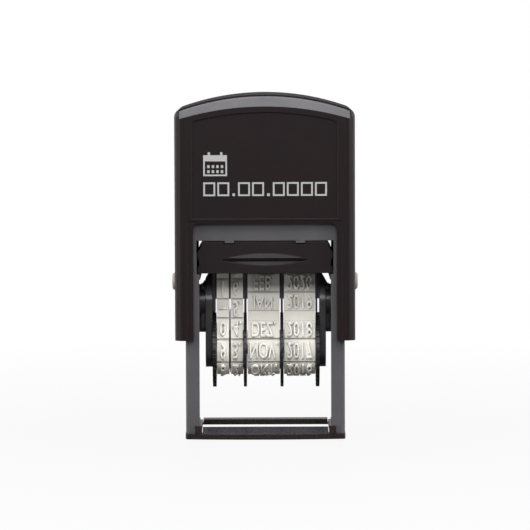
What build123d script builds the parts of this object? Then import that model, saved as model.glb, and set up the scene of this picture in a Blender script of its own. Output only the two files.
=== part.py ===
"""Self-inking rotary date stamp, at rest: cap up, platen up against the ink pad.

X is the width, the front faces -Y, +Z is up, and the stamp stands on Z = 0.
"""
import os
from math import acos, atan2, cos, degrees, hypot, pi, sin

from build123d import *

os.makedirs("parts", exist_ok=True)

# ---------------------------------------------------------------- driving dimensions (mm)
STROKE = 19.5  # travel of the cap from rest to print
PIVOT_Z = 28.3  # swivel axis of the date unit at rest
PIN_CRANK = 6.0  # guide pin below the swivel axis at rest
RUN_GAP = 0.05  # running clearance on a radius

CAP_WIDTH = 38.0
CAP_DEPTH = 33.0
CAP_TOP = 72.8
CAP_BOTTOM = 21.0
CAP_WALL = 1.6
CORNER_R = 2.0
SHOULDER_R = 1.9  # edge between a side and the arched top
CEILING_EDGE_R = 0.8
ARCH_R = 53.7  # radius of the arched top
ROOF_R = 63.0  # radius of the flatter body arch under the cover
COVER_T = 2.5  # cover over the date card, at the middle
COVER_EDGE_R = 0.7
ROOF_T = 1.6
COVER_HALF = 17.95
CARD_HALF = (14.5, 13.0)
CARD_T = 0.3
CARD_GAP = 0.2
WINDOW_HALF = 15.1
WINDOW_TOP = 45.8
WINDOW_R = 1.3
RIM_HALF = 16.2
RIM_TOP = 46.3
RIM_DEPTH = 0.15
PANEL_HALF = 15.3
PANEL_BOTTOM = 46.7
PANEL_DEPTH = 0.25
PANEL_MARGIN = 1.25  # panel's top edge below the cover
PANEL_R = 1.2
POST_R = 3.6  # spring post under the roof
POST_WALL = 1.3
POST_BOTTOM = 64.0
POST_ROOT = 0.3  # how far the post runs into the roof

FOOT_WIDTH = 33.8
FOOT_DEPTH = 32.0
FOOT_T = 1.2
FOOT_SHOULDER = 14.9  # corners of the front edge, which bows out to the full depth
BAR_NOTCH = (13.6, 14.3)  # slots at the ends of the rear bar
BAR_NOTCH_FLOOR = 0.3
FOOT_CORNER_R = 0.6
FOOT_EDGE_R = 0.2
PRINT_WINDOW_X = 27.4
PRINT_WINDOW_Y = 25.0
LIP_Y = (-15.4, -12.5)  # front bar's sloping lip
LIP_TOP = 2.4
LIP_HALF = 13.3
CORNER_POST = (14.15, -14.95)
CORNER_POST_SIZE = (1.5, 0.65)
CORNER_POST_TOP = 2.9

FRAME_HALF_X = 16.8
FRAME_HALF_Y = 14.6
FRAME_TOP = 46.0
FRAME_CORNER_R = 0.8
SIDE_WALL = 1.3
RAIL_T = 1.5
RAIL_INNER = 13.9  # front rails
CHANNEL_INNER = 14.45  # rear rails and the cartridge channel
CHANNEL_BOTTOM = 34.9
SHELF_INNER = 13.7
SHELF_Z = (33.7, 34.9)
SHELF_INSET = 1.0
DECK_Z = (42.2, 43.4)
DECK_HOLE_R = 2.5
CROSS_BOTTOM = 42.0
TOWER_R = (5.6, 6.8)
TOWER_TOP = 47.0
TAB_CENTRE = 7.5
TAB_WIDTH = 2.0
TAB_DROP = 0.5
GROOVE_DEPTH = 0.8
GROOVE_WIDTH = 1.8
SLOT_HALF = 1.95

LOCK_Y = 5.0
LOCK_Z = 32.1
LOCK_DROPS = (0.0, 4.2, STROKE)  # cap travel at rest, pad change and transport
LOCK_HOLE_R = 1.6
LOCK_RECESS_R = 2.6
LOCK_RECESS = 0.9
LOCK_BORE_R = 2.0
LOCK_STEM = (17.0, 17.9, 1.4)  # x from, x to, radius
LOCK_FLANGE = (17.85, 18.25, 2.5)
LOCK_HEAD = (18.2, 20.05, 1.9)
LOCK_HEAD_R = 0.7

TRAY_HALF_Y = 14.4
TRAY_Z = (35.1, 41.8)
TRAY_SIDE = ((13.3, 41.8), (13.5, 40.7), (14.25, 39.5), (14.25, 38.1), (13.9, 37.8), (13.9, 36.6),
             (14.2, 36.4))
PAD_Z = (37.25, 40.0)
PAD_HALF = (13.1, 8.0)
INK_OPENING_HALF = 12.5
INK_OPENING_FRONT = 6.5  # the opening runs from here to the tray's rear end
FRONT_POCKET_Y = (-13.2, -9.2)
FRONT_POCKET = 5.6
TAB_GAP = 0.1
LEDGE_DEPTH = 0.35  # finger ledge on the tray's front
LEDGE_HALF = 7.6
LEDGE_Z = (39.3, 38.45, 38.3)  # top at the middle and at the ends, and the straight bottom
SCOOP_DEPTH = 0.6  # finger scoop under the ledge
SCOOP_HALF = 8.9
SCOOP_Z = (36.8, 37.85, 38.0)  # bottom at the middle and at the ends, and the straight top

WHEEL_Z = 17.7
DISC_R = 8.0
TOOTH_ROOT_R = 7.55
TOOTH_CUT = 0.05  # how far a tooth gap's tool reaches past the rim
TEETH = 32
DRUM_R = 4.2
AXLE_R = 1.0
AXLE_FIT = 0.02
BELT_INNER_R = 4.35
BELT_BASE = 0.6
PAD_RAISE = 0.35
PLATEN_TOP = 35.65
PLATEN_BOTTOM = 28.8
PLATEN_HALF_TOP = 1.75
PLATEN_CORNER_R = 0.6
PLATEN_X = (-11.3, 11.65)
BAR_FOOT = 2.2
BAR_HEAD = 1.67  # clear of the belts, which run round PLATEN_HALF_TOP
FINS = ((-11.3, -10.65), (-4.5, -4.0), (3.35, 3.8), (10.85, 11.2))  # keep the belts apart
FIN_BOTTOM = 25.9
FIN_RISE = 0.7
FIN_WIDTH = 5.0
FIN_R = 1.2
DIVIDER_X = (-7.63, -7.47)
DIVIDER_CORNER = (2.8, 25.4)
DIVIDER_CORNER_R = 0.9
CHEEK_LEFT = (11.3, 12.78)
CHEEK_RIGHT = (11.65, 13.0)
CHEEK_FOOT_R = 3.7
CHEEK_WAIST_R = 4.1
CHEEK_CORNER = (1.6, 33.4)
CHEEK_CORNER_R = 0.8
LUG_OUTER = 13.75
LUG_Z = (21.8, 32.6)
LUG_WIDTH = 4.8
LUG_R = 1.0
LUG_SLOPE_Z = (31.9, 34.3)
LUG_SLOPE_X = (13.45, 12.1)
BOSS_R = 3.55
BOSS_OUTER = 15.2
NECK_WIDTH = 2.2  # rib from the boss down to the guide pin
GUIDE_PIN_R = 0.8
GUIDE_PIN_END = 16.15
PIVOT_PIN_R = 1.8
PIVOT_PIN_X = (13.0, 18.4)
PIVOT_PIN_CHAMFER = 0.3

SPRING_R = 4.6
SPRING_WIRE = 0.8
SPRING_TURNS = 6
SPRING_SLACK = 0.3

# name, toothed disc (x from, x to), drum (x from, x to), belt (x from, x to)
SETTINGS = (
    ("tens", (-11.25, -10.5), (-10.5, -7.68), (-10.35, -7.75)),
    ("units", (-4.62, -3.97), (-7.42, -4.62), (-7.35, -4.75)),
    ("month", (3.25, 3.9), (-3.85, 3.25), (-3.75, 3.1)),
    ("year", (10.85, 11.6), (3.98, 10.85), (4.05, 10.7)),
)
CELLS = 13
GROOVE = 0.4
# Distances along a belt, from the middle of the platen's top over the front
DAY_EDGES = (4.63, 8.88, 13.03, 17.58, 22.2)  # cell edges of the day belts
MONTH_EDGES = (7.46, 11.56, 13.43, 17.48, 22.2)  # cell edges of the month and year belts
JOINT = (11.56, 13.43)  # bare joint of the month and year belts

# ---------------------------------------------------------------- derived sizes
HALF_X = CAP_WIDTH / 2
HALF_Y = CAP_DEPTH / 2
ARCH_Z = CAP_TOP - ARCH_R
ROOF_Z = CAP_TOP - COVER_T - ROOF_R
CEILING_R = ROOF_R - ROOF_T
CAVITY_X = CAP_WIDTH - 2 * CAP_WALL
CAVITY_Y = CAP_DEPTH - 2 * CAP_WALL
WALL_INNER = FRAME_HALF_X - SIDE_WALL
CORNER_Y = PLATEN_HALF_TOP - PLATEN_CORNER_R
CORNER_Z = PLATEN_TOP - PLATEN_CORNER_R
BELT_MID = BELT_BASE / 2


def export(builder, name):
    """Label a finished piece and write its STEP file."""
    builder.part.label = name
    export_step(builder.part, f"parts/{name}.step")


def arched(half_width, bottom, centre_z, radius):
    """Upright rectangle whose top is an arch about a centre on the middle line."""
    height = centre_z + radius - bottom
    with Locations((0, bottom + height / 2)):
        Rectangle(2 * half_width, height)
    with Locations((0, centre_z)):
        Circle(radius, mode=Mode.INTERSECT)


# ---------------------------------------------------------------- cap
with BuildPart() as cap_shell:
    with BuildSketch(Plane.XZ) as silhouette:
        arched(HALF_X, CAP_BOTTOM, ARCH_Z, ARCH_R)
        fillet(silhouette.vertices().group_by(Axis.Y)[-1], SHOULDER_R)
    extrude(amount=HALF_Y, both=True)
    fillet(cap_shell.edges().filter_by(Axis.Z), CORNER_R)
    with BuildSketch(Plane.XZ) as cavity:
        arched(CAVITY_X / 2, CAP_BOTTOM, ROOF_Z, CEILING_R)
        fillet(cavity.vertices().group_by(Axis.Y)[-1], CEILING_EDGE_R)
    extrude(amount=CAVITY_Y / 2, both=True, mode=Mode.SUBTRACT)
    with BuildSketch(Plane.XZ):
        with Locations((0, ARCH_Z + ARCH_R)):
            Rectangle(2 * COVER_HALF, ARCH_R)
        with Locations((0, ROOF_Z)):
            Circle(ROOF_R, mode=Mode.SUBTRACT)
    extrude(amount=HALF_Y, both=True, mode=Mode.SUBTRACT)
    with BuildSketch(Plane.XZ) as window:
        with Locations((0, (WINDOW_TOP + CAP_BOTTOM) / 2)):
            Rectangle(2 * WINDOW_HALF, WINDOW_TOP - CAP_BOTTOM)
        fillet(window.vertices().group_by(Axis.Y)[-1], WINDOW_R)
    extrude(amount=HALF_Y, both=True, mode=Mode.SUBTRACT)
    for face_y, inward in ((-HALF_Y, -1), (HALF_Y, 1)):
        with BuildSketch(Plane.XZ.offset(-face_y)):
            with Locations((0, (RIM_TOP + CAP_BOTTOM) / 2)):
                Rectangle(2 * RIM_HALF, RIM_TOP - CAP_BOTTOM)
        extrude(amount=inward * RIM_DEPTH, mode=Mode.SUBTRACT)
        with BuildSketch(Plane.XZ.offset(-face_y)) as panel:
            arched(PANEL_HALF, PANEL_BOTTOM, ROOF_Z, ROOF_R - PANEL_MARGIN)
            fillet(panel.vertices().group_by(Axis.Y)[-1], PANEL_R)
        extrude(amount=inward * PANEL_DEPTH, mode=Mode.SUBTRACT)
    with BuildSketch(Plane.XY.offset(POST_BOTTOM)):
        Circle(POST_R)
        Circle(POST_R - POST_WALL, mode=Mode.SUBTRACT)
    extrude(amount=ROOF_Z + CEILING_R + POST_ROOT - POST_BOTTOM)
    for side in (-1, 1):
        with BuildSketch(Plane.YZ.offset(side * (HALF_X - CAP_WALL))):
            with Locations((0, PIVOT_Z)):
                Circle(PIVOT_PIN_R)
        extrude(amount=side * (PIVOT_PIN_X[1] - HALF_X + CAP_WALL), mode=Mode.SUBTRACT)
        with BuildSketch(Plane.YZ.offset(side * (HALF_X - CAP_WALL))):
            with Locations((LOCK_Y, LOCK_Z)):
                Circle(LOCK_RECESS_R)
        extrude(amount=side * LOCK_RECESS, mode=Mode.SUBTRACT)
        with BuildSketch(Plane.YZ.offset(side * (HALF_X - CAP_WALL))):
            with Locations((LOCK_Y, LOCK_Z)):
                Circle(LOCK_BORE_R)
        extrude(amount=side * CAP_WALL, mode=Mode.SUBTRACT)
export(cap_shell, "cap_shell")

with BuildPart() as index_cover:
    with BuildSketch(Plane.XZ):
        with Locations((0, ARCH_Z + ARCH_R)):
            Rectangle(2 * (COVER_HALF - RUN_GAP), ARCH_R)
        with Locations((0, ARCH_Z)):
            Circle(ARCH_R, mode=Mode.INTERSECT)
        with Locations((0, ROOF_Z)):
            Circle(ROOF_R, mode=Mode.SUBTRACT)
    extrude(amount=HALF_Y, both=True)
    ends = index_cover.faces().filter_by(Axis.Y)
    fillet(ends.edges().group_by(Axis.Z)[-1], COVER_EDGE_R)
    with BuildSketch(Plane.XZ):
        with Locations((0, ROOF_Z)):
            Circle(ROOF_R + CARD_T)
        with Locations((0, ROOF_Z + ROOF_R)):
            Rectangle(2 * (CARD_HALF[0] + CARD_GAP), ROOF_R, mode=Mode.INTERSECT)
        with Locations((0, ROOF_Z)):
            Circle(ROOF_R, mode=Mode.SUBTRACT)
    extrude(amount=CARD_HALF[1] + CARD_GAP, both=True, mode=Mode.SUBTRACT)
    with BuildSketch(Plane.XY.offset(ARCH_Z)):
        RectangleRounded(CAP_WIDTH, CAP_DEPTH, CORNER_R)
    extrude(amount=2 * ARCH_R, mode=Mode.INTERSECT)
export(index_cover, "index_cover")

with BuildPart() as index_card:
    with BuildSketch(Plane.XZ):
        with Locations((0, ROOF_Z)):
            Circle(ROOF_R + CARD_T)
        with Locations((0, ROOF_Z + ROOF_R)):
            Rectangle(2 * CARD_HALF[0], ROOF_R, mode=Mode.INTERSECT)
        with Locations((0, ROOF_Z)):
            Circle(ROOF_R, mode=Mode.SUBTRACT)
    extrude(amount=CARD_HALF[1], both=True)
export(index_card, "index_card")

# ---------------------------------------------------------------- foot
with BuildPart() as foot_frame:
    with BuildSketch() as foot_outline:
        with BuildLine():
            Polyline((-FOOT_WIDTH / 2, -FOOT_SHOULDER), (-FOOT_WIDTH / 2, FOOT_DEPTH / 2),
                     (FOOT_WIDTH / 2, FOOT_DEPTH / 2), (FOOT_WIDTH / 2, -FOOT_SHOULDER))
            ThreePointArc((FOOT_WIDTH / 2, -FOOT_SHOULDER), (0, -FOOT_DEPTH / 2),
                          (-FOOT_WIDTH / 2, -FOOT_SHOULDER))
        make_face()
        fillet(foot_outline.vertices(), FOOT_CORNER_R)
        Rectangle(PRINT_WINDOW_X, PRINT_WINDOW_Y, mode=Mode.SUBTRACT)
    extrude(amount=FOOT_T)
    with BuildSketch(Plane.YZ):
        with BuildLine():
            Polyline((LIP_Y[0], FOOT_T), (LIP_Y[1], LIP_TOP), (LIP_Y[1], FOOT_T), close=True)
        make_face()
    extrude(amount=LIP_HALF, both=True)
    with BuildSketch(Plane.XY.offset(FOOT_T)):
        for side in (-1, 1):
            with Locations((side * CORNER_POST[0], CORNER_POST[1])):
                Rectangle(*CORNER_POST_SIZE)
    extrude(amount=CORNER_POST_TOP - FOOT_T)
    with BuildSketch(Plane.XY.offset(FOOT_T)):
        for side in (-1, 1):
            with Locations((side * (BAR_NOTCH[0] + BAR_NOTCH[1]) / 2, FOOT_DEPTH / 2)):
                Rectangle(BAR_NOTCH[1] - BAR_NOTCH[0], FOOT_DEPTH - PRINT_WINDOW_Y)
    extrude(amount=BAR_NOTCH_FLOOR - FOOT_T, mode=Mode.SUBTRACT)
    fillet(foot_frame.faces().sort_by(Axis.Z)[0].edges(), FOOT_EDGE_R)
export(foot_frame, "foot_frame")

# ---------------------------------------------------------------- base frame
def pin_point(turn):
    """Place of the guide pin's centre in the side walls after a turn of the date unit."""
    return PIN_CRANK * sin(turn), PIVOT_Z - STROKE * turn / pi - PIN_CRANK * cos(turn)


with BuildPart() as base_frame:
    with BuildSketch(Plane.XY.offset(FOOT_T)):
        for side in (-1, 1):
            with Locations((side * (WALL_INNER + SIDE_WALL / 2), 0)):
                Rectangle(SIDE_WALL, 2 * FRAME_HALF_Y)
            for rail_inner, end in ((RAIL_INNER, -1), (CHANNEL_INNER, 1)):
                rail_width = FRAME_HALF_X - rail_inner
                rail_y = end * (FRAME_HALF_Y - RAIL_T / 2)
                with Locations((side * (rail_inner + rail_width / 2), rail_y)):
                    Rectangle(rail_width, RAIL_T)
    extrude(amount=FRAME_TOP - FOOT_T)
    outer_posts = base_frame.edges().filter_by(Axis.Z).group_by(SortBy.DISTANCE)[-1]
    fillet(outer_posts, FRAME_CORNER_R)
    with BuildSketch(Plane.XY.offset(SHELF_Z[0])):
        for side in (-1, 1):
            with Locations((side * (SHELF_INNER + FRAME_HALF_X) / 2, 0)):
                Rectangle(FRAME_HALF_X - SHELF_INNER, 2 * (FRAME_HALF_Y - SHELF_INSET))
    extrude(amount=SHELF_Z[1] - SHELF_Z[0])
    with BuildSketch(Plane.XY.offset(CHANNEL_BOTTOM)):
        Rectangle(2 * CHANNEL_INNER, 2 * FRAME_HALF_Y)
    extrude(amount=CROSS_BOTTOM - CHANNEL_BOTTOM, mode=Mode.SUBTRACT)
    with BuildSketch(Plane.XY.offset(DECK_Z[0])):
        Rectangle(2 * WALL_INNER + SIDE_WALL, 2 * FRAME_HALF_Y - RAIL_T)
        Circle(DECK_HOLE_R, mode=Mode.SUBTRACT)
    extrude(amount=DECK_Z[1] - DECK_Z[0])
    with BuildSketch(Plane.XY.offset(CROSS_BOTTOM)):
        for end in (-1, 1):
            with Locations((0, end * (FRAME_HALF_Y - RAIL_T / 2))):
                Rectangle(2 * WALL_INNER + SIDE_WALL, RAIL_T)
    extrude(amount=FRAME_TOP - CROSS_BOTTOM)
    with BuildSketch(Plane.XY.offset(DECK_Z[1])):
        Circle(TOWER_R[1])
        Circle(TOWER_R[0], mode=Mode.SUBTRACT)
    extrude(amount=TOWER_TOP - DECK_Z[1])
    with BuildSketch(Plane.XY.offset(CROSS_BOTTOM)):
        for end in (-1, 1):
            with Locations((-TAB_CENTRE, end * (FRAME_HALF_Y - RAIL_T / 2)),
                           (TAB_CENTRE, end * (FRAME_HALF_Y - RAIL_T / 2))):
                Rectangle(TAB_WIDTH, RAIL_T)
    extrude(amount=-TAB_DROP)
    for side in (-1, 1):
        with BuildSketch(Plane.YZ.offset(side * WALL_INNER)):
            with Locations((0, PIVOT_Z - STROKE / 2)):
                SlotCenterToCenter(STROKE, 2 * SLOT_HALF, rotation=90)
            for drop in LOCK_DROPS:
                with Locations((LOCK_Y, LOCK_Z - drop)):
                    Circle(LOCK_HOLE_R)
        extrude(amount=side * SIDE_WALL, mode=Mode.SUBTRACT)
        with BuildSketch(Plane.YZ.offset(side * WALL_INNER)):
            with BuildLine() as pin_path:
                for quarter in range(4):
                    ThreePointArc(*[pin_point(pi / 4 * (quarter + share)) for share in (0, 0.5, 1)])
            trace(pin_path.line, GROOVE_WIDTH)
            with Locations((0, PIVOT_Z - PIN_CRANK), (0, PIVOT_Z - STROKE + PIN_CRANK)):
                Circle(GROOVE_WIDTH / 2)
        extrude(amount=side * GROOVE_DEPTH, mode=Mode.SUBTRACT)
export(base_frame, "base_frame")

with BuildPart() as return_spring:
    coil_height = ROOF_Z + CEILING_R - DECK_Z[1] - SPRING_WIRE - SPRING_SLACK
    with BuildLine(Plane.XY.offset(DECK_Z[1] + SPRING_WIRE / 2)) as coil:
        Helix(pitch=coil_height / SPRING_TURNS, height=coil_height, radius=SPRING_R)
    with BuildSketch(Plane(origin=coil.line @ 0, z_dir=coil.line % 0)):
        Circle(SPRING_WIRE / 2)
    sweep(path=coil.line, is_frenet=True)
export(return_spring, "return_spring")

# ---------------------------------------------------------------- ink cartridge
with BuildPart() as cartridge_tray:
    with BuildSketch(Plane.XZ) as tray_end:
        with BuildLine():
            half_end = Polyline((0, TRAY_Z[1]), *TRAY_SIDE, (TRAY_SIDE[-1][0], TRAY_Z[0]), (0, TRAY_Z[0]))
            mirror(half_end, about=Plane.YZ)
        make_face()
    extrude(amount=TRAY_HALF_Y, both=True)
    with BuildSketch(Plane.XY.offset(TRAY_Z[0])):
        with Locations((0, (TRAY_HALF_Y - INK_OPENING_FRONT) / 2)):
            Rectangle(2 * INK_OPENING_HALF, TRAY_HALF_Y + INK_OPENING_FRONT)
    extrude(amount=PAD_Z[0] - TRAY_Z[0], mode=Mode.SUBTRACT)
    with BuildSketch(Plane.XY.offset(PAD_Z[0])):
        Rectangle(2 * PAD_HALF[0], 2 * PAD_HALF[1])
    extrude(amount=PAD_Z[1] - PAD_Z[0], mode=Mode.SUBTRACT)
    with BuildSketch(Plane.XY.offset(TRAY_Z[0])):
        with Locations((0, sum(FRONT_POCKET_Y) / 2)):
            Rectangle(2 * INK_OPENING_HALF, FRONT_POCKET_Y[1] - FRONT_POCKET_Y[0])
    extrude(amount=FRONT_POCKET, mode=Mode.SUBTRACT)
    with BuildSketch(Plane.XY.offset(TRAY_Z[1])):
        with Locations((-TAB_CENTRE, 0), (TAB_CENTRE, 0)):
            Rectangle(TAB_WIDTH + 2 * TAB_GAP, 2 * TRAY_HALF_Y)
    extrude(amount=-TAB_DROP - TAB_GAP, mode=Mode.SUBTRACT)
    for (middle_z, end_z, straight_z), half_width, depth, bow_mode, slope_mode in (
            (LEDGE_Z, LEDGE_HALF, LEDGE_DEPTH, Mode.ADD, Mode.SUBTRACT),
            (SCOOP_Z, SCOOP_HALF, -SCOOP_DEPTH, Mode.SUBTRACT, Mode.ADD)):
        with BuildSketch(Plane.XZ.offset(TRAY_HALF_Y)):
            with BuildLine():
                Polyline((-half_width, end_z), (-half_width, straight_z),
                         (half_width, straight_z), (half_width, end_z))
                ThreePointArc((half_width, end_z), (0, middle_z), (-half_width, end_z))
            make_face()
        extrude(amount=depth, mode=bow_mode)
        with BuildSketch(Plane.YZ):
            with BuildLine():
                Polyline((-TRAY_HALF_Y, middle_z), (-TRAY_HALF_Y - depth, straight_z),
                         (-TRAY_HALF_Y - depth, middle_z), close=True)
            make_face()
        extrude(amount=half_width, both=True, mode=slope_mode)
export(cartridge_tray, "cartridge_tray")

with BuildPart() as ink_pad:
    with BuildSketch(Plane.XY.offset(PAD_Z[0])):
        Rectangle(2 * PAD_HALF[0], 2 * PAD_HALF[1])
    extrude(amount=PAD_Z[1] - PAD_Z[0])
export(ink_pad, "ink_pad")

# ---------------------------------------------------------------- date unit
with BuildPart() as platen:
    with BuildSketch(Plane.YZ.offset(PLATEN_X[0])) as bar:
        with BuildLine():
            Polyline((-BAR_FOOT, PLATEN_BOTTOM), (BAR_FOOT, PLATEN_BOTTOM), (BAR_HEAD, PLATEN_TOP),
                     (-BAR_HEAD, PLATEN_TOP), close=True)
        make_face()
        fillet(bar.vertices().group_by(Axis.Y)[-1], PLATEN_CORNER_R)
    extrude(amount=PLATEN_X[1] - PLATEN_X[0])
    for start, end in FINS:
        with BuildSketch(Plane.YZ.offset(start)) as fin:
            with Locations((0, (FIN_BOTTOM + PLATEN_TOP + FIN_RISE) / 2)):
                Rectangle(FIN_WIDTH, PLATEN_TOP + FIN_RISE - FIN_BOTTOM)
            fillet(fin.vertices().group_by(Axis.Y)[-1], FIN_R)
        extrude(amount=end - start)
export(platen, "platen")


def carrier(name, side, plate):
    """Cheek plate with the swivel boss and the lug that holds the guide pin."""
    inner, outer = plate
    with BuildPart() as cheek:
        with BuildSketch(Plane.YZ.offset(side * inner)):
            with Locations((0, WHEEL_Z)):
                Circle(CHEEK_FOOT_R)
            with Locations((0, PIVOT_Z)):
                Circle(CHEEK_WAIST_R)
            with Locations((-CHEEK_CORNER[0], CHEEK_CORNER[1]), CHEEK_CORNER):
                Circle(CHEEK_CORNER_R)
            make_hull()
        extrude(amount=side * (outer - inner))
        with BuildSketch(Plane.YZ.offset(side * outer)):
            with Locations((0, sum(LUG_Z) / 2)):
                RectangleRounded(LUG_WIDTH, LUG_Z[1] - LUG_Z[0], LUG_R)
        extrude(amount=side * (LUG_OUTER - outer))
        with BuildSketch(Plane.YZ.offset(side * outer)):
            with Locations((0, PIVOT_Z)):
                Circle(BOSS_R)
            with Locations((0, (PIVOT_Z + LUG_Z[0]) / 2)):
                Rectangle(NECK_WIDTH, PIVOT_Z - LUG_Z[0])
        extrude(amount=side * (BOSS_OUTER - outer))
        with BuildSketch(Plane.YZ.offset(side * outer)):
            with Locations((0, PIVOT_Z - PIN_CRANK)):
                Circle(GUIDE_PIN_R)
        extrude(amount=side * (GUIDE_PIN_END - outer))
        with BuildSketch(Plane.XZ):
            with BuildLine():
                Polyline((side * BOSS_OUTER, LUG_SLOPE_Z[0]), (side * LUG_SLOPE_X[0], LUG_SLOPE_Z[0]),
                         (side * LUG_SLOPE_X[1], LUG_SLOPE_Z[1]), (side * BOSS_OUTER, LUG_SLOPE_Z[1]),
                         close=True)
            make_face()
        extrude(amount=CHEEK_WAIST_R, both=True, mode=Mode.SUBTRACT)
        with BuildSketch(Plane.YZ.offset(side * BOSS_OUTER)):
            with Locations((0, PIVOT_Z)):
                Circle(PIVOT_PIN_R + RUN_GAP)
        extrude(amount=-side * (BOSS_OUTER - PIVOT_PIN_X[0] + RUN_GAP), mode=Mode.SUBTRACT)
        with BuildSketch(Plane.YZ.offset(side * inner)):
            with Locations((0, WHEEL_Z)):
                Circle(AXLE_R + AXLE_FIT)
        extrude(amount=side * (outer - inner), mode=Mode.SUBTRACT)
    export(cheek, name)


carrier("carrier_left", -1, CHEEK_LEFT)
carrier("carrier_right", 1, CHEEK_RIGHT)

with BuildPart() as wheel_axle:
    with BuildSketch(Plane.YZ.offset(-CHEEK_LEFT[1])):
        with Locations((0, WHEEL_Z)):
            Circle(AXLE_R)
    extrude(amount=CHEEK_LEFT[1] + CHEEK_RIGHT[1])
export(wheel_axle, "wheel_axle")

with BuildPart() as belt_divider:
    with BuildSketch(Plane.YZ.offset(DIVIDER_X[0])):
        with Locations((0, WHEEL_Z)):
            Circle(BELT_INNER_R + BELT_BASE)
        with Locations((-DIVIDER_CORNER[0], DIVIDER_CORNER[1]), DIVIDER_CORNER):
            Circle(DIVIDER_CORNER_R)
        make_hull()
        with Locations((0, WHEEL_Z)):
            Circle(AXLE_R + AXLE_FIT, mode=Mode.SUBTRACT)
    extrude(amount=DIVIDER_X[1] - DIVIDER_X[0])
export(belt_divider, "belt_divider")

for side, name in ((-1, "pivot_pin_left"), (1, "pivot_pin_right")):
    with BuildPart() as pivot_pin:
        with BuildSketch(Plane.YZ.offset(side * PIVOT_PIN_X[0])):
            with Locations((0, PIVOT_Z)):
                Circle(PIVOT_PIN_R)
        extrude(amount=side * (PIVOT_PIN_X[1] - PIVOT_PIN_X[0]))
        chamfer(pivot_pin.edges().sort_by(lambda edge: abs(edge.center().X))[0], PIVOT_PIN_CHAMFER)
    export(pivot_pin, name)

for side, name in ((-1, "lock_button_left"), (1, "lock_button_right")):
    with BuildPart() as lock_button:
        for start, end, radius in (LOCK_STEM, LOCK_FLANGE, LOCK_HEAD):
            with BuildSketch(Plane.YZ.offset(side * start)):
                with Locations((LOCK_Y, LOCK_Z)):
                    Circle(radius)
            extrude(amount=side * (end - start))
        outermost = lock_button.edges().sort_by(lambda edge: abs(edge.center().X))[-1]
        fillet(outermost, LOCK_HEAD_R)
    export(lock_button, name)

# ---------------------------------------------------------------- wheels and belts
for name, disc, drum, belt in SETTINGS:
    with BuildPart() as wheel:
        with BuildSketch(Plane.YZ.offset(disc[0])):
            with Locations((0, WHEEL_Z)):
                Circle(DISC_R)
                Circle(AXLE_R + RUN_GAP, mode=Mode.SUBTRACT)
                with PolarLocations(DISC_R + TOOTH_CUT, TEETH):
                    gap_depth = 2 * (DISC_R + TOOTH_CUT - TOOTH_ROOT_R)
                    Rectangle(gap_depth, pi * DISC_R / TEETH, mode=Mode.SUBTRACT)
        extrude(amount=disc[1] - disc[0])
        with BuildSketch(Plane.YZ.offset(drum[0])):
            with Locations((0, WHEEL_Z)):
                Circle(DRUM_R)
                Circle(AXLE_R + RUN_GAP, mode=Mode.SUBTRACT)
        extrude(amount=drum[1] - drum[0])
    export(wheel, f"{name}_wheel")

# Each belt runs over the platen, down both sides and around its drum. Distances along it are
# measured at half the base's thickness, from the middle of the platen's top over the front.
CENTRE_GAP = hypot(CORNER_Y, CORNER_Z - WHEEL_Z)
RADIUS_STEP = BELT_INNER_R - PLATEN_CORNER_R
TILT = pi - atan2(CORNER_Z - WHEEL_Z, -CORNER_Y) - acos(RADIUS_STEP / CENTRE_GAP)
CORNER_END = CORNER_Y + (PLATEN_CORNER_R + BELT_MID) * (pi / 2 - TILT)
RUN_LENGTH = CENTRE_GAP * sin(acos(RADIUS_STEP / CENTRE_GAP))
RUN_END = CORNER_END + RUN_LENGTH
HALF_LOOP = RUN_END + (BELT_INNER_R + BELT_MID) * (pi / 2 + TILT)
BELT_LENGTH = 2 * HALF_LOOP


def belt_place(distance, height):
    """Location at a height over the belt's inner face, turned so that its Y points outward."""
    distance = distance % BELT_LENGTH
    along = min(distance, BELT_LENGTH - distance)
    if along < CORNER_Y:
        centre, radius, turn = (-along, CORNER_Z), PLATEN_CORNER_R, pi / 2
    elif along < CORNER_END:
        centre, radius = (-CORNER_Y, CORNER_Z), PLATEN_CORNER_R
        turn = pi / 2 + (along - CORNER_Y) / (PLATEN_CORNER_R + BELT_MID)
    elif along < RUN_END:
        share = (along - CORNER_END) / RUN_LENGTH
        centre = (-CORNER_Y * (1 - share), CORNER_Z + share * (WHEEL_Z - CORNER_Z))
        radius, turn = PLATEN_CORNER_R + share * RADIUS_STEP, pi - TILT
    else:
        centre, radius = (0, WHEEL_Z), BELT_INNER_R
        turn = pi - TILT + (along - RUN_END) / (BELT_INNER_R + BELT_MID)
    y = centre[0] + (radius + height) * cos(turn)
    z = centre[1] + (radius + height) * sin(turn)
    if distance > HALF_LOOP:
        y, turn = -y, pi - turn
    return Location((y, z, 0), (0, 0, degrees(turn) - 90))


def belt_outline(height):
    """Outline of the belt loop at a height over its inner face."""
    with Locations((-CORNER_Y, CORNER_Z), (CORNER_Y, CORNER_Z)):
        Circle(PLATEN_CORNER_R + height)
    with Locations((0, WHEEL_Z)):
        Circle(BELT_INNER_R + height)
    make_hull()


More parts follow.
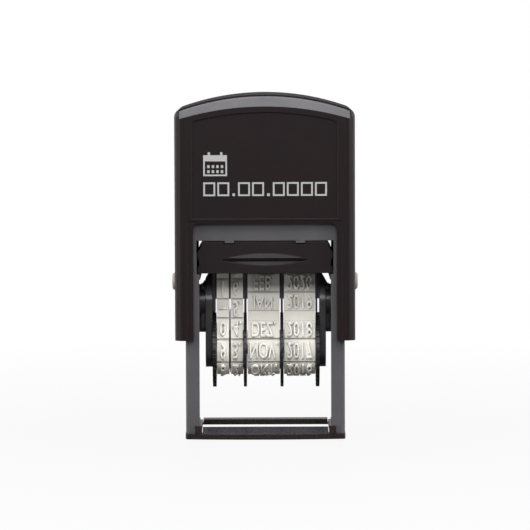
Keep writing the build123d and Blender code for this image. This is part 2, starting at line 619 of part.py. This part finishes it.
for name, disc, drum, belt in SETTINGS:
    jointed = name in ("month", "year")
    front_edges = MONTH_EDGES if jointed else DAY_EDGES
    rest = CELLS + jointed - len(front_edges) + 1
    step = (BELT_LENGTH - front_edges[-1] + front_edges[0]) / rest
    edges = front_edges + tuple(front_edges[-1] + step * count for count in range(1, rest))
    with BuildPart() as band:
        with BuildSketch(Plane.YZ.offset(belt[0])):
            belt_outline(BELT_BASE + PAD_RAISE)
        extrude(amount=belt[1] - belt[0])
        with BuildSketch(Plane.YZ.offset(belt[0])):
            belt_outline(0)
        extrude(amount=belt[1] - belt[0], mode=Mode.SUBTRACT)
        with BuildSketch(Plane.YZ.offset(belt[0])):
            for edge in edges:
                with Locations(belt_place(edge, BELT_BASE + PAD_RAISE)):
                    Rectangle(GROOVE, 2 * PAD_RAISE)
            if jointed:
                with Locations(belt_place(sum(JOINT) / 2, BELT_BASE + PAD_RAISE)):
                    Rectangle(JOINT[1] - JOINT[0] + GROOVE, 2 * PAD_RAISE)
        extrude(amount=belt[1] - belt[0], mode=Mode.SUBTRACT)
    export(band, f"{name}_band")
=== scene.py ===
import math

import bmesh
import bpy
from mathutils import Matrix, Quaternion, Vector, noise


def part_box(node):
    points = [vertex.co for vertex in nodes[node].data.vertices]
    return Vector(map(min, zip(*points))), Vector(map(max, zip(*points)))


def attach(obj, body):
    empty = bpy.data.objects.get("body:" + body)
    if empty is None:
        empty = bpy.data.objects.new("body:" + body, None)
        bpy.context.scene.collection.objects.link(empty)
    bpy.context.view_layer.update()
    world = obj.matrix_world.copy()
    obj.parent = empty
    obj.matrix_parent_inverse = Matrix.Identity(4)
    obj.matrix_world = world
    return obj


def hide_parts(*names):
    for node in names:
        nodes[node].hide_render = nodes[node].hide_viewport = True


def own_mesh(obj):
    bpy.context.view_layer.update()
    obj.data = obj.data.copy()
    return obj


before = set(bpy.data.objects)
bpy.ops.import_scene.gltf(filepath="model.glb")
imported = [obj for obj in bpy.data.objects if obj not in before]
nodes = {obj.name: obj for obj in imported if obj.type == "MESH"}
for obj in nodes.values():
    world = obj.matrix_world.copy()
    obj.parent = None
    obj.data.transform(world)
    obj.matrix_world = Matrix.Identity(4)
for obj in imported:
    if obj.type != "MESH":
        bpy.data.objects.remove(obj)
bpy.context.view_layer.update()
MM = 0.001
FINE_GRAIN = 5200  # noise features per metre on moulded and printed surfaces


def corners(node):
    """Lowest and highest corner of a CAD node at rest, as vectors in metres."""
    low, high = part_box(node)
    return Vector(low), Vector(high)


def set_range(node, low, high, to_low, to_high):
    """Sets the input and output range of a Map Range node."""
    for name, number in zip(("From Min", "From Max", "To Min", "To Max"), (low, high, to_low, to_high)):
        node.inputs[name].default_value = number


# ---------------------------------------------------------------- materials
class Shader:
    """Small helper that adds and links nodes of one material."""

    def __init__(self, name):
        self.material = bpy.data.materials.new(name)
        self.material.use_nodes = True
        self.tree = self.material.node_tree
        self.principled = self.tree.nodes["Principled BSDF"]
        self.place = self.add("ShaderNodeTexCoord").outputs["Object"]

    def add(self, kind, **values):
        """A new node, with its plain properties and its input sockets set by name."""
        node = self.tree.nodes.new(kind)
        for key, value in values.items():
            if hasattr(node, key):
                setattr(node, key, value)
            else:
                node.inputs[key.replace("_", " ")].default_value = value
        return node

    def link(self, source, target):
        self.tree.links.new(source, target)

    def noise(self, scale, detail=2.0):
        """Noise in object space; scale is features per metre."""
        node = self.add("ShaderNodeTexNoise", Scale=scale, Detail=detail)
        self.link(self.place, node.inputs["Vector"])
        return node.outputs["Fac"]

    def remap(self, value, low, high, to_low, to_high):
        node = self.add("ShaderNodeMapRange")
        self.link(value, node.inputs["Value"])
        set_range(node, low, high, to_low, to_high)
        return node.outputs["Result"]

    def blend_colour(self, factor, first, second):
        """Colour mix; first and second are RGB triples or sockets."""
        node = self.add("ShaderNodeMix", data_type="RGBA")
        self.link(factor, node.inputs["Factor"])
        for socket, colour in ((node.inputs[6], first), (node.inputs[7], second)):
            if isinstance(colour, tuple):
                socket.default_value = (*colour, 1.0)
            else:
                self.link(colour, socket)
        return node.outputs[2]

    def bump(self, height, distance, strength=1.0, normal=None):
        node = self.add("ShaderNodeBump", Strength=strength, Distance=distance)
        self.link(height, node.inputs["Height"])
        if normal is not None:
            self.link(normal, node.inputs["Normal"])
        return node.outputs["Normal"]

    def edges(self, radius):
        """Mask that is 1 along convex and concave edges, and the rounded normal there."""
        rounded = self.add("ShaderNodeBevel", samples=6, Radius=radius).outputs["Normal"]
        flat = self.add("ShaderNodeNewGeometry").outputs["Normal"]
        dot = self.add("ShaderNodeVectorMath", operation="DOT_PRODUCT")
        self.link(rounded, dot.inputs[0])
        self.link(flat, dot.inputs[1])
        return self.remap(dot.outputs["Value"], 0.98, 0.80, 0.0, 1.0), rounded


def moulded(name, colour, roughness, grain, wear=1.6, round_edges=0.18, specular=0.3, painted_slope_highlight=None):
    """Moulded plastic: fine spark-eroded grain, faint flow clouds, and edges rubbed lighter.

    grain is its depth in mm; the last argument is a lighter base colour painted on faces that slope
    upwards: a painted highlight.
    """
    s = Shader(name)
    shader = s.principled
    shader.inputs["Specular IOR Level"].default_value = specular
    clouds = s.noise(90, 3.0)
    grain_noise = s.noise(FINE_GRAIN, 3.0)
    rubbed, rounded = s.edges(round_edges * MM)
    patchy = s.add("ShaderNodeMath", operation="MULTIPLY")
    s.link(rubbed, patchy.inputs[0])
    s.link(s.remap(s.noise(900, 2.0), 0.4, 0.65, 0.25, 1.0), patchy.inputs[1])
    darker = tuple(0.88 * part for part in colour)
    lighter = tuple(1.12 * part for part in colour)
    worn = tuple(min(1.0, wear * part + 0.006) for part in colour)
    base = s.blend_colour(s.remap(clouds, 0.3, 0.7, 0.0, 1.0), darker, lighter)
    # Painted highlight: faces that slope upwards, judged by their world normal, get the lighter slope
    # colour.
    if painted_slope_highlight:
        split = s.add("ShaderNodeSeparateXYZ")
        s.link(s.add("ShaderNodeNewGeometry").outputs["Normal"], split.inputs[0])
        slope_highlight_mask = s.add("ShaderNodeMath", operation="MULTIPLY")
        s.link(s.remap(split.outputs["Z"], 0.15, 0.35, 0.0, 1.0), slope_highlight_mask.inputs[0])
        s.link(s.remap(split.outputs["Z"], 0.95, 0.99, 1.0, 0.0), slope_highlight_mask.inputs[1])
        base = s.blend_colour(slope_highlight_mask.outputs["Value"], base, painted_slope_highlight)
    s.link(s.blend_colour(patchy.outputs["Value"], base, worn), shader.inputs["Base Color"])
    s.link(s.remap(grain_noise, 0.3, 0.7, roughness - 0.07, roughness + 0.07), shader.inputs["Roughness"])
    s.link(s.bump(grain_noise, grain * MM, 1.0, rounded), shader.inputs["Normal"])
    return s.material


def rubber(name, colour):
    """Type rubber: matt, dusty, slightly yellowed, with painted shade darkening the grooves and the sides
    of the type, found by ambient occlusion.
    """
    s = Shader(name)
    shader = s.principled
    shader.inputs["Specular IOR Level"].default_value = 0.25
    speckle = s.noise(2600, 4.0)
    clouds = s.noise(260, 3.0)
    # Painted shade: ambient occlusion darkens the grooves between cells and round the type towards a
    # near-black copy of the rubber.
    occlusion = s.add("ShaderNodeAmbientOcclusion", samples=12, Distance=0.6 * MM)
    darker = tuple(0.92 * part for part in colour)
    painted_groove_shade = tuple(0.08 * part for part in colour)
    base = s.blend_colour(s.remap(clouds, 0.3, 0.7, 0.0, 1.0), darker, colour)
    dusty = s.blend_colour(s.remap(speckle, 0.62, 0.75, 0.0, 0.35), base, darker)
    groove_shade_mask = s.remap(occlusion.outputs["AO"], 0.16, 0.72, 1.0, 0.0)
    s.link(s.blend_colour(groove_shade_mask, dusty, painted_groove_shade), shader.inputs["Base Color"])
    s.link(s.remap(speckle, 0.3, 0.7, 0.62, 0.85), shader.inputs["Roughness"])
    s.link(s.bump(speckle, 0.02 * MM), shader.inputs["Normal"])
    return s.material


def metal(name, colour, roughness, scale):
    """Drawn or turned steel with fine rings along X."""
    s = Shader(name)
    shader = s.principled
    shader.inputs["Metallic"].default_value = 1.0
    rings = s.add("ShaderNodeTexWave", Scale=scale, Distortion=1.5, Detail=2.0)
    s.link(s.place, rings.inputs["Vector"])
    base = s.blend_colour(s.noise(700, 2.0), colour, tuple(0.75 * part for part in colour))
    s.link(base, shader.inputs["Base Color"])
    polish = s.remap(rings.outputs["Fac"], 0, 1, roughness - 0.06, roughness + 0.08)
    s.link(polish, shader.inputs["Roughness"])
    s.link(s.bump(rings.outputs["Fac"], 0.004 * MM), shader.inputs["Normal"])
    return s.material


def smoked_cover(name, arch_z, film_r):
    """Smoky cover over the date card: grey at its cut edges, a painted reflection of the bright backdrop,
    with a dark film over the arched top.
    """
    s = Shader(name)
    shader = s.principled
    scuffs = s.noise(1500, 4.0)
    split = s.add("ShaderNodeSeparateXYZ")
    s.link(s.place, split.inputs[0])
    above = s.add("ShaderNodeMath", operation="SUBTRACT")
    s.link(split.outputs["Z"], above.inputs[0])
    above.inputs[1].default_value = arch_z
    flat = s.add("ShaderNodeCombineXYZ")
    s.link(split.outputs["X"], flat.inputs["X"])
    s.link(above.outputs["Value"], flat.inputs["Z"])
    reach = s.add("ShaderNodeVectorMath", operation="LENGTH")
    s.link(flat.outputs["Vector"], reach.inputs[0])
    film = s.remap(reach.outputs["Value"], film_r - 0.05 * MM, film_r + 0.05 * MM, 0.0, 1.0)
    clouds = s.remap(s.noise(160), 0.3, 0.7, 0.0, 1.0)
    # Painted reflection: this grey stands in for the bright backdrop reflected in the cover's cut edges.
    grey = s.blend_colour(clouds, (0.106, 0.103, 0.107), (0.128, 0.124, 0.129))
    s.link(s.blend_colour(film, grey, (0.008, 0.006, 0.007)), shader.inputs["Base Color"])
    s.link(s.remap(film, 0.0, 1.0, 0.12, 0.02), shader.inputs["Specular IOR Level"])
    s.link(s.remap(scuffs, 0.3, 0.7, 0.46, 0.60), shader.inputs["Roughness"])
    s.link(s.bump(scuffs, 0.004 * MM), shader.inputs["Normal"])
    return s.material


def card(name):
    """Printed paper card with its fibres."""
    s = Shader(name)
    fibres = s.noise(3800, 5.0)
    paper = s.blend_colour(fibres, (0.80, 0.79, 0.76), (0.70, 0.69, 0.66))
    s.link(paper, s.principled.inputs["Base Color"])
    s.principled.inputs["Roughness"].default_value = 0.85
    s.link(s.bump(fibres, 0.01 * MM), s.principled.inputs["Normal"])
    return s.material


def felt(name, colour):
    """Ink-soaked felt: dark, fibrous, with damp sheen."""
    s = Shader(name)
    fibres = s.noise(3000, 6.0)
    damp = s.noise(240, 3.0)
    inked = s.blend_colour(fibres, colour, tuple(2.2 * part for part in colour))
    s.link(inked, s.principled.inputs["Base Color"])
    s.link(s.remap(damp, 0.35, 0.65, 0.45, 0.9), s.principled.inputs["Roughness"])
    s.link(s.bump(fibres, 0.12 * MM), s.principled.inputs["Normal"])
    return s.material


def print_ink(name, colour):
    """Thin pad-printed ink with a slightly broken surface."""
    s = Shader(name)
    grain = s.noise(FINE_GRAIN, 3.0)
    broken = s.blend_colour(s.remap(grain, 0.58, 0.8, 0, 1), colour, tuple(0.6 * part for part in colour))
    s.link(broken, s.principled.inputs["Base Color"])
    s.principled.inputs["Roughness"].default_value = 0.55
    s.link(s.bump(grain, 0.006 * MM), s.principled.inputs["Normal"])
    return s.material


CAP = moulded("cap_black", (0.0054, 0.0025, 0.0030), 0.44, grain=0.010, wear=1.9, specular=0.15)
FRAME = moulded("frame_grey", (0.052, 0.050, 0.054), 0.50, grain=0.012, specular=0.22)
BUTTON = moulded("button_grey", (0.20, 0.18, 0.175), 0.45, grain=0.008)
# The foot's upward-sloping lip gets a painted highlight, a lighter bluish grey.
FOOT = moulded("foot_black", (0.0060, 0.0026, 0.0023), 0.27, grain=0.004, specular=0.36,
               painted_slope_highlight=(0.022, 0.0215, 0.026))
UNIT = moulded("unit_black", (0.024, 0.021, 0.023), 0.34, grain=0.008, specular=0.55)
TRAY = moulded("tray_black", (0.0054, 0.0025, 0.0030), 0.40, grain=0.008, specular=0.20)
WHEEL = moulded("wheel_black", (0.010, 0.009, 0.009), 0.40, grain=0.008, round_edges=0.08)
# The raised type is a lighter copy of the band's own rubber: painted light on the type, standing in for the
# light its raised faces catch.
BAND = rubber("band_rubber", (0.82, 0.79, 0.73))
TYPE = rubber("type_rubber", (0.93, 0.91, 0.84))
STEEL = metal("steel", (0.60, 0.60, 0.61), 0.28, 2400)
SPRING = metal("spring_steel", (0.50, 0.50, 0.52), 0.30, 1200)
COVER = smoked_cover("cover_clear", arch_z=19.1 * MM, film_r=53.30 * MM)
CARD = card("card_white")
LABEL_PRINT = print_ink("label_print", (0.27, 0.27, 0.27))
FELT = felt("ink_felt", (0.010, 0.010, 0.020))

CAD_FINISH = {
    "cap_shell": CAP, "base_frame": FRAME, "foot_frame": FOOT, "cartridge_tray": TRAY,
    "carrier_left": UNIT, "carrier_right": UNIT, "platen": UNIT,
    "tens_wheel": WHEEL, "units_wheel": WHEEL, "month_wheel": WHEEL, "year_wheel": WHEEL,
    "belt_divider": UNIT, "tens_band": BAND, "units_band": BAND, "month_band": BAND, "year_band": BAND,
    "wheel_axle": STEEL, "pivot_pin_left": STEEL, "pivot_pin_right": STEEL,
    "index_cover": COVER, "index_card": CARD,
    "lock_button_left": BUTTON, "lock_button_right": BUTTON,
}
for node_name, finish in CAD_FINISH.items():
    mesh = nodes[node_name].data
    mesh.materials.clear()
    mesh.materials.append(finish)


def piece(name, mesh, material, body):
    """Scene object from a mesh, with its finish, riding on a CAD body."""
    obj = bpy.data.objects.new(name, mesh)
    bpy.context.scene.collection.objects.link(obj)
    mesh.materials.clear()
    mesh.materials.append(material)
    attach(obj, body)
    return obj


# ---------------------------------------------------------------- belts and their type
BELT_T = 0.95 * MM  # base and raised cells together
BASE_MID = 0.3 * MM
PLATEN_CORNER_R = 0.6 * MM
PLATEN_HALF = 1.75 * MM
TYPE_RAISE = 0.42 * MM
TYPE_HEIGHT = 3.3  # mm
TYPE_WEIGHT = 0.020  # em added all round
TYPE_CUTS = 8  # slices of a character that follow the belt's curve
CAPITAL = 0.69  # em, height of a capital
LEAST_TALL = 0.3  # em, a lower mark is a dash
belt_low, belt_high = corners("month_band")
INNER_R = (belt_high.y - belt_low.y) / 2 - BELT_T
WHEEL_Z = belt_low.z + INNER_R + BELT_T
CORNER_Z = belt_high.z - BELT_T - PLATEN_CORNER_R
CORNER_Y = PLATEN_HALF - PLATEN_CORNER_R
CENTRES = math.hypot(CORNER_Y, CORNER_Z - WHEEL_Z)
STEP = INNER_R - PLATEN_CORNER_R
TILT = math.pi - math.atan2(CORNER_Z - WHEEL_Z, -CORNER_Y) - math.acos(STEP / CENTRES)
CORNER_END = CORNER_Y + (PLATEN_CORNER_R + BASE_MID) * (math.pi / 2 - TILT)
RUN = CENTRES * math.sin(math.acos(STEP / CENTRES))
HALF_LOOP = CORNER_END + RUN + (INNER_R + BASE_MID) * (math.pi / 2 + TILT)
LOOP = 2 * HALF_LOOP


def on_belt(x, along, height):
    """Point of a belt: distance along it from the middle of the platen over the front."""
    along = along % LOOP
    near = min(along, LOOP - along)
    if near < CORNER_Y:
        y, z, radius, turn = -near, CORNER_Z, PLATEN_CORNER_R, math.pi / 2
    elif near < CORNER_END:
        y, z, radius = -CORNER_Y, CORNER_Z, PLATEN_CORNER_R
        turn = math.pi / 2 + (near - CORNER_Y) / (PLATEN_CORNER_R + BASE_MID)
    elif near < CORNER_END + RUN:
        share = (near - CORNER_END) / RUN
        y, z = -CORNER_Y * (1 - share), CORNER_Z + share * (WHEEL_Z - CORNER_Z)
        radius, turn = PLATEN_CORNER_R + share * STEP, math.pi - TILT
    else:
        y, z, radius = 0.0, WHEEL_Z, INNER_R
        turn = math.pi - TILT + (near - CORNER_END - RUN) / (INNER_R + BASE_MID)
    y += (radius + height) * math.cos(turn)
    z += (radius + height) * math.sin(turn)
    return Vector((x, -y if along > HALF_LOOP else y, z))


def cell_centres(front, joint, count):
    """Centres of a belt's cells in order, from the first one seen on the front."""
    unseen = count - len(front) + 1 + (joint is not None)
    pitch = (LOOP - (front[-1] - front[0]) * MM) / unseen
    edges = [edge * MM for edge in front]
    edges += [front[-1] * MM + pitch * step for step in range(1, unseen + 1)]
    pairs = list(zip(edges, edges[1:]))
    return [(low + high) / 2 for index, (low, high) in enumerate(pairs) if index != joint]


def glyph_mesh(text, across):
    """Flat characters about the origin, TYPE_HEIGHT high; across is their width scale in mm per em."""
    font = bpy.data.curves.new("glyph", "FONT")
    font.body = text
    font.resolution_u = 3
    font.offset = TYPE_WEIGHT
    holder = bpy.data.objects.new("glyph", font)
    bpy.context.scene.collection.objects.link(holder)
    flat = bpy.data.meshes.new_from_object(holder.evaluated_get(bpy.context.evaluated_depsgraph_get()))
    bpy.data.objects.remove(holder)
    bpy.data.curves.remove(font)
    work = bmesh.new()
    work.from_mesh(flat)
    bpy.data.meshes.remove(flat)
    bmesh.ops.remove_doubles(work, verts=work.verts, dist=1e-5)
    xs = [v.co.x for v in work.verts]
    ys = [v.co.y for v in work.verts]
    tall = max(ys) - min(ys)
    up = TYPE_HEIGHT / (tall if tall > LEAST_TALL else CAPITAL + 2 * TYPE_WEIGHT)
    middle = Vector(((min(xs) + max(xs)) / 2, (min(ys) + max(ys)) / 2, 0))
    for v in work.verts:
        v.co = (v.co - middle) * MM
        v.co.x *= across
        v.co.y *= up
    return work


def raise_type(work, x_middle, along_middle):
    """Bends flat glyph outlines round the belt and raises them to closed solids."""
    for step in range(1, TYPE_CUTS):
        cut = TYPE_HEIGHT * MM * (step / TYPE_CUTS - 0.5)
        geometry = work.verts[:] + work.edges[:] + work.faces[:]
        bmesh.ops.bisect_plane(work, geom=geometry, plane_co=(0, cut, 0), plane_no=(0, 1, 0))
    top = work.faces[:]
    rim = [edge for edge in work.edges if edge.is_boundary]
    low = {v: work.verts.new(v.co) for v in work.verts[:]}
    for edge in rim:
        a, b = edge.verts
        loop = edge.link_loops[0]
        first, second = (a, b) if loop.vert == a else (b, a)
        work.faces.new((second, first, low[first], low[second]))
    for face in top:
        work.faces.new([low[v] for v in reversed(face.verts)])
    raised = set(low)
    places = {}
    for v in work.verts:
        level = BELT_T + TYPE_RAISE if v in raised else BELT_T - 0.05 * MM
        places[v] = on_belt(x_middle + v.co.x, along_middle + v.co.y, level)
    for v, place in places.items():
        v.co = place
    bmesh.ops.recalc_face_normals(work, faces=work.faces)
    return work


def type_on(belt, labels, front, joint, count, across):
    """One object with all the raised characters of a belt."""
    low, high = corners(belt)
    middle = (low.x + high.x) / 2
    joined = bpy.data.meshes.new(belt.replace("band", "type"))
    everything = bmesh.new()
    for centre, label in zip(cell_centres(front, joint, count), labels):
        if not label:
            continue
        work = raise_type(glyph_mesh(label, across), middle, centre)
        part = bpy.data.meshes.new("part")
        work.to_mesh(part)
        work.free()
        everything.from_mesh(part)
        bpy.data.meshes.remove(part)
    everything.to_mesh(joined)
    everything.free()
    return piece(joined.name, joined, TYPE, "date_unit")


# edges of the cells seen on the front, in mm along the belt from the middle of the platen
DAY_EDGES = (4.63, 8.88, 13.03, 17.58, 22.2)
MONTH_EDGES = (7.46, 11.56, 13.43, 17.48, 22.2)
MONTHS = ("JAN.", "DEZ.", "NOV.", "OKT.", "SEP.", "AUG.", "JULI", "JUNI", "MAI", "APR.", "M\u00c4RZ", "",
          "FEB.")
YEARS = ("2019", "2018", "2017", "2016", "2027", "2026", "2025", "2024", "2023", "2022", "2021", "", "2020")
TENS = ("1", "\u2013", "0", "9", "8", "7", "6", "5", "4", "3", "2", "1", "")
UNITS = ("6.", "5.", "4.", "3.", "2.", "1.", "0.", "9.", "8.", "7.", "6.", "", "7.")
CELLS = 13  # of a belt
type_on("tens_band", TENS, DAY_EDGES, joint=None, count=CELLS, across=2.7)
type_on("units_band", UNITS, DAY_EDGES, joint=None, count=CELLS, across=2.6)
type_on("month_band", MONTHS, MONTH_EDGES, joint=1, count=CELLS, across=2.55)
type_on("year_band", YEARS, MONTH_EDGES, joint=1, count=CELLS, across=2.75)

# ---------------------------------------------------------------- return spring
spring_low, spring_high = corners("return_spring")
wire = 0.4 * MM
coil_r = (spring_high.x - spring_low.x) / 2 - wire
TURNS = 8
TURN_STEPS = 40
WIRE_SIDES = 10
DEAD_RISE = 0.86 * MM  # of each closed end turn
work = bmesh.new()
rings = []
free_rise = spring_high.z - spring_low.z - 2 * wire - 2 * DEAD_RISE
for step in range(TURNS * TURN_STEPS + 1):
    turn = step / TURN_STEPS
    dead = DEAD_RISE * (min(turn, 1.0) + max(turn - TURNS + 1, 0))
    free = free_rise * min(max((turn - 1) / (TURNS - 2), 0), 1)
    centre = Vector((coil_r * math.cos(turn * math.tau), coil_r * math.sin(turn * math.tau),
                     spring_low.z + wire + dead + free))
    outward = Vector((math.cos(turn * math.tau), math.sin(turn * math.tau), 0))
    ring = []
    for corner in range(WIRE_SIDES):
        angle = corner / WIRE_SIDES * math.tau
        aside = math.cos(angle) * outward + Vector((0, 0, math.sin(angle)))
        ring.append(work.verts.new(centre + wire * aside))
    rings.append(ring)
for ring, following in zip(rings, rings[1:]):
    for corner in range(WIRE_SIDES):
        after = (corner + 1) % WIRE_SIDES
        work.faces.new((ring[corner], ring[after], following[after], following[corner]))
work.faces.new(rings[0][::-1])
work.faces.new(rings[-1])
for face in work.faces:
    face.smooth = True
bmesh.ops.recalc_face_normals(work, faces=work.faces)
spring_mesh = bpy.data.meshes.new("spring_coil")
work.to_mesh(spring_mesh)
work.free()
spring = piece("spring_coil", spring_mesh, SPRING, "frame")
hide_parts("return_spring")
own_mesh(spring)

# ---------------------------------------------------------------- ink pad
PAD_GAP = 0.3 * MM  # narrower than the tray
PAD_RIM = 0.35 * MM  # rounding of the edge
PAD_LIFT = 0.1 * MM
pad_low, pad_high = corners("ink_pad")
work = bmesh.new()
bmesh.ops.create_grid(work, x_segments=40, y_segments=28, size=0.5)
size = pad_high - pad_low
for v in work.verts:
    crown = (1 - (2 * v.co.x) ** 6) * (1 - (2 * v.co.y) ** 6)
    fuzz = noise.noise(Vector((v.co.x * 60, v.co.y * 40, 3.7)))
    v.co = Vector((v.co.x * (size.x - PAD_GAP), v.co.y * (size.y - PAD_GAP),
                   PAD_RIM * (1 - crown) - 0.05 * MM * fuzz * crown))
underside = work.faces[:]
extruded = bmesh.ops.extrude_face_region(work, geom=underside)
for v in [item for item in extruded["geom"] if isinstance(item, bmesh.types.BMVert)]:
    v.co.z = size.z - PAD_RIM
for v in work.verts:
    v.co += Vector(((pad_low.x + pad_high.x) / 2, (pad_low.y + pad_high.y) / 2, pad_low.z + PAD_LIFT))
bmesh.ops.recalc_face_normals(work, faces=work.faces)
pad_mesh = bpy.data.meshes.new("ink_pad_felt")
work.to_mesh(pad_mesh)
work.free()
pad = piece("ink_pad_felt", pad_mesh, FELT, "cartridge")
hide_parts("ink_pad")


# ---------------------------------------------------------------- printed marks
def stamped(name, rectangles, place, thickness, material, body):
    """Thin printed rectangles; place turns (u, v, lift) into a point."""
    work = bmesh.new()
    for left, right, bottom, top in rectangles:
        rings = []
        for lift in (0.0, thickness):
            rings.append([work.verts.new(place(u, v, lift))
                          for u, v in ((left, bottom), (right, bottom), (right, top), (left, top))])
        work.faces.new(rings[0][::-1])
        work.faces.new(rings[1])
        for index in range(4):
            after = (index + 1) % 4
            work.faces.new((rings[0][index], rings[0][after], rings[1][after], rings[1][index]))
    bmesh.ops.recalc_face_normals(work, faces=work.faces)
    mesh = bpy.data.meshes.new(name)
    work.to_mesh(mesh)
    work.free()
    return piece(name, mesh, material, body)


shell_low = corners("cap_shell")[0]
PANEL_Y = shell_low.y + 0.25 * MM


def on_panel(u, v, lift):
    return Vector((u * MM, PANEL_Y + 0.02 * MM - lift, v * MM))


def outline(left, right, bottom, top, line):
    """Four bars of a rectangular frame, laid end to end without overlap."""
    return [(left, right, top - line, top), (left, right, bottom, bottom + line),
            (left, left + line, bottom + line, top - line),
            (right - line, right, bottom + line, top - line)]


def calendar_sign(left, bottom):
    """Small calendar: outline, header bar, binding tabs and day squares."""
    width, height, line = 5.0, 4.4, 0.34
    marks = outline(left, left + width, bottom, bottom + height, line)
    marks.append((left + line, left + width - line, bottom + height - 1.3, bottom + height - line))
    for tab in (left + 1.2, left + width - 1.2):
        marks.append((tab - 0.25, tab + 0.25, bottom + height, bottom + height + 0.6))
    for row in range(2):
        for column in range(4):
            x, z = left + 0.85 + column * 0.95, bottom + 0.65 + row * 1.05
            marks.append((x, x + 0.5, z, z + 0.6))
    return marks


def date_boxes(left, bottom):
    """Row of empty boxes for day, month and year with a dot between the groups."""
    width, height, gap, group_gap = 2.5, 2.9, 0.45, 1.85
    marks = []
    for index in range(8):
        if index in (2, 4):
            left += group_gap - gap
            marks.append((left - group_gap / 2 - 0.28, left - group_gap / 2 + 0.28, bottom, bottom + 0.56))
        marks += outline(left, left + width, bottom, bottom + height, 0.36)
        left += width + gap
    return marks


MARKS_LEFT = -12.9  # mm
marks = calendar_sign(MARKS_LEFT, bottom=55.7) + date_boxes(MARKS_LEFT, bottom=51.5)
stamped("panel_mark", marks, on_panel, 0.04 * MM, LABEL_PRINT, "cap")

# ---------------------------------------------------------------- stage
scene = bpy.context.scene
work = bmesh.new()
bmesh.ops.create_circle(work, cap_ends=True, radius=3.0, segments=96)
floor_mesh = bpy.data.meshes.new("floor")
work.to_mesh(floor_mesh)
work.free()
floor = bpy.data.objects.new("floor", floor_mesh)
scene.collection.objects.link(floor)
s = Shader("floor_paper")
distance = s.add("ShaderNodeVectorMath", operation="LENGTH")
s.link(s.place, distance.inputs[0])
s.principled.inputs["Base Color"].default_value = (0.10, 0.10, 0.10, 1)
s.principled.inputs["Roughness"].default_value = 0.35
s.principled.inputs["Specular IOR Level"].default_value = 0.2
glow = s.add("ShaderNodeEmission", Color=(1, 1, 1, 1), Strength=1.0)
mix = s.add("ShaderNodeMixShader")
seen = s.add("ShaderNodeLightPath")
glow_share = s.add("ShaderNodeMath", operation="MULTIPLY")
s.link(s.remap(distance.outputs["Value"], 0.03, 0.22, 0.92, 1.0), glow_share.inputs[0])
s.link(s.remap(seen.outputs["Is Camera Ray"], 0.0, 1.0, 0.05, 1.0), glow_share.inputs[1])
s.link(glow_share.outputs["Value"], mix.inputs[0])
s.link(s.principled.outputs[0], mix.inputs[1])
s.link(glow.outputs[0], mix.inputs[2])
s.link(mix.outputs[0], s.tree.nodes["Material Output"].inputs["Surface"])
floor_mesh.materials.append(s.material)

world = bpy.data.worlds.new("studio")
scene.world = world
world.use_nodes = True
tree = world.node_tree
background = tree.nodes["Background"]
dim = tree.nodes.new("ShaderNodeBackground")
direction = tree.nodes.new("ShaderNodeTexCoord")
axes = tree.nodes.new("ShaderNodeSeparateXYZ")
backdrop = tree.nodes.new("ShaderNodeMapRange")
tree.links.new(direction.outputs["Generated"], axes.inputs[0])
tree.links.new(axes.outputs["Y"], backdrop.inputs["Value"])
set_range(backdrop, 0.1, 0.8, 0.07, 0.60)
tree.links.new(backdrop.outputs["Result"], dim.inputs["Strength"])
background.inputs["Color"].default_value = (1, 1, 1, 1)
background.inputs["Strength"].default_value = 1.0
seen = tree.nodes.new("ShaderNodeLightPath")
pick = tree.nodes.new("ShaderNodeMixShader")
tree.links.new(seen.outputs["Is Camera Ray"], pick.inputs[0])
tree.links.new(dim.outputs[0], pick.inputs[1])
tree.links.new(background.outputs[0], pick.inputs[2])
tree.links.new(pick.outputs[0], tree.nodes["World Output"].inputs["Surface"])


STAMP_MIDDLE = Vector((0, 0, 0.036))
LIGHTS = (  # name, place, width, height, power
    ("left_box", (-0.55, -0.25, 0.30), 0.42, 0.60, 5.4),
    ("right_box", (0.55, -0.25, 0.30), 0.42, 0.60, 5.4),
    ("left_rim", (-0.62, 0.34, 0.26), 0.35, 0.60, 3.0),
    ("right_rim", (0.62, 0.34, 0.26), 0.35, 0.60, 3.0),
    ("top_box", (0.0, 0.05, 0.75), 0.60, 0.40, 3.0),
    ("back_top", (0.0, 0.60, 0.55), 0.60, 0.30, 1.6),
    ("front_high", (0.0, -0.60, 0.64), 0.60, 0.25, 3.2),
    ("front_low", (0.0, -0.92, 0.40), 0.60, 0.20, 4.7),
)
for name, place, width, height, power in LIGHTS:
    data = bpy.data.lights.new(name, "AREA")
    data.shape = "RECTANGLE"
    data.size = width
    data.size_y = height
    data.energy = power
    softbox = bpy.data.objects.new(name, data)
    softbox.location = place
    softbox.rotation_euler = (STAMP_MIDDLE - Vector(place)).to_track_quat("-Z", "Y").to_euler()
    scene.collection.objects.link(softbox)

CAMERA_GAP = 0.720  # from the stamp's front face
CAMERA_HEIGHT = 0.0855
AIM_HEIGHT = 0.0370
FIELD = 0.1111  # width of the view at the front face
ROLL = math.radians(-0.2)
camera_data = bpy.data.cameras.new("camera")
camera_data.lens = camera_data.sensor_width * CAMERA_GAP / FIELD
camera_data.clip_start = 0.01
camera = bpy.data.objects.new("camera", camera_data)
camera.location = (0, shell_low.y - CAMERA_GAP, CAMERA_HEIGHT)
aim = Vector((0, shell_low.y, AIM_HEIGHT))
level = (aim - camera.location).to_track_quat("-Z", "Y")
camera.rotation_euler = (level @ Quaternion((0, 0, 1), ROLL)).to_euler()
scene.collection.objects.link(camera)
scene.camera = camera
scene.view_settings.view_transform = "Standard"
scene.view_settings.look = "None"
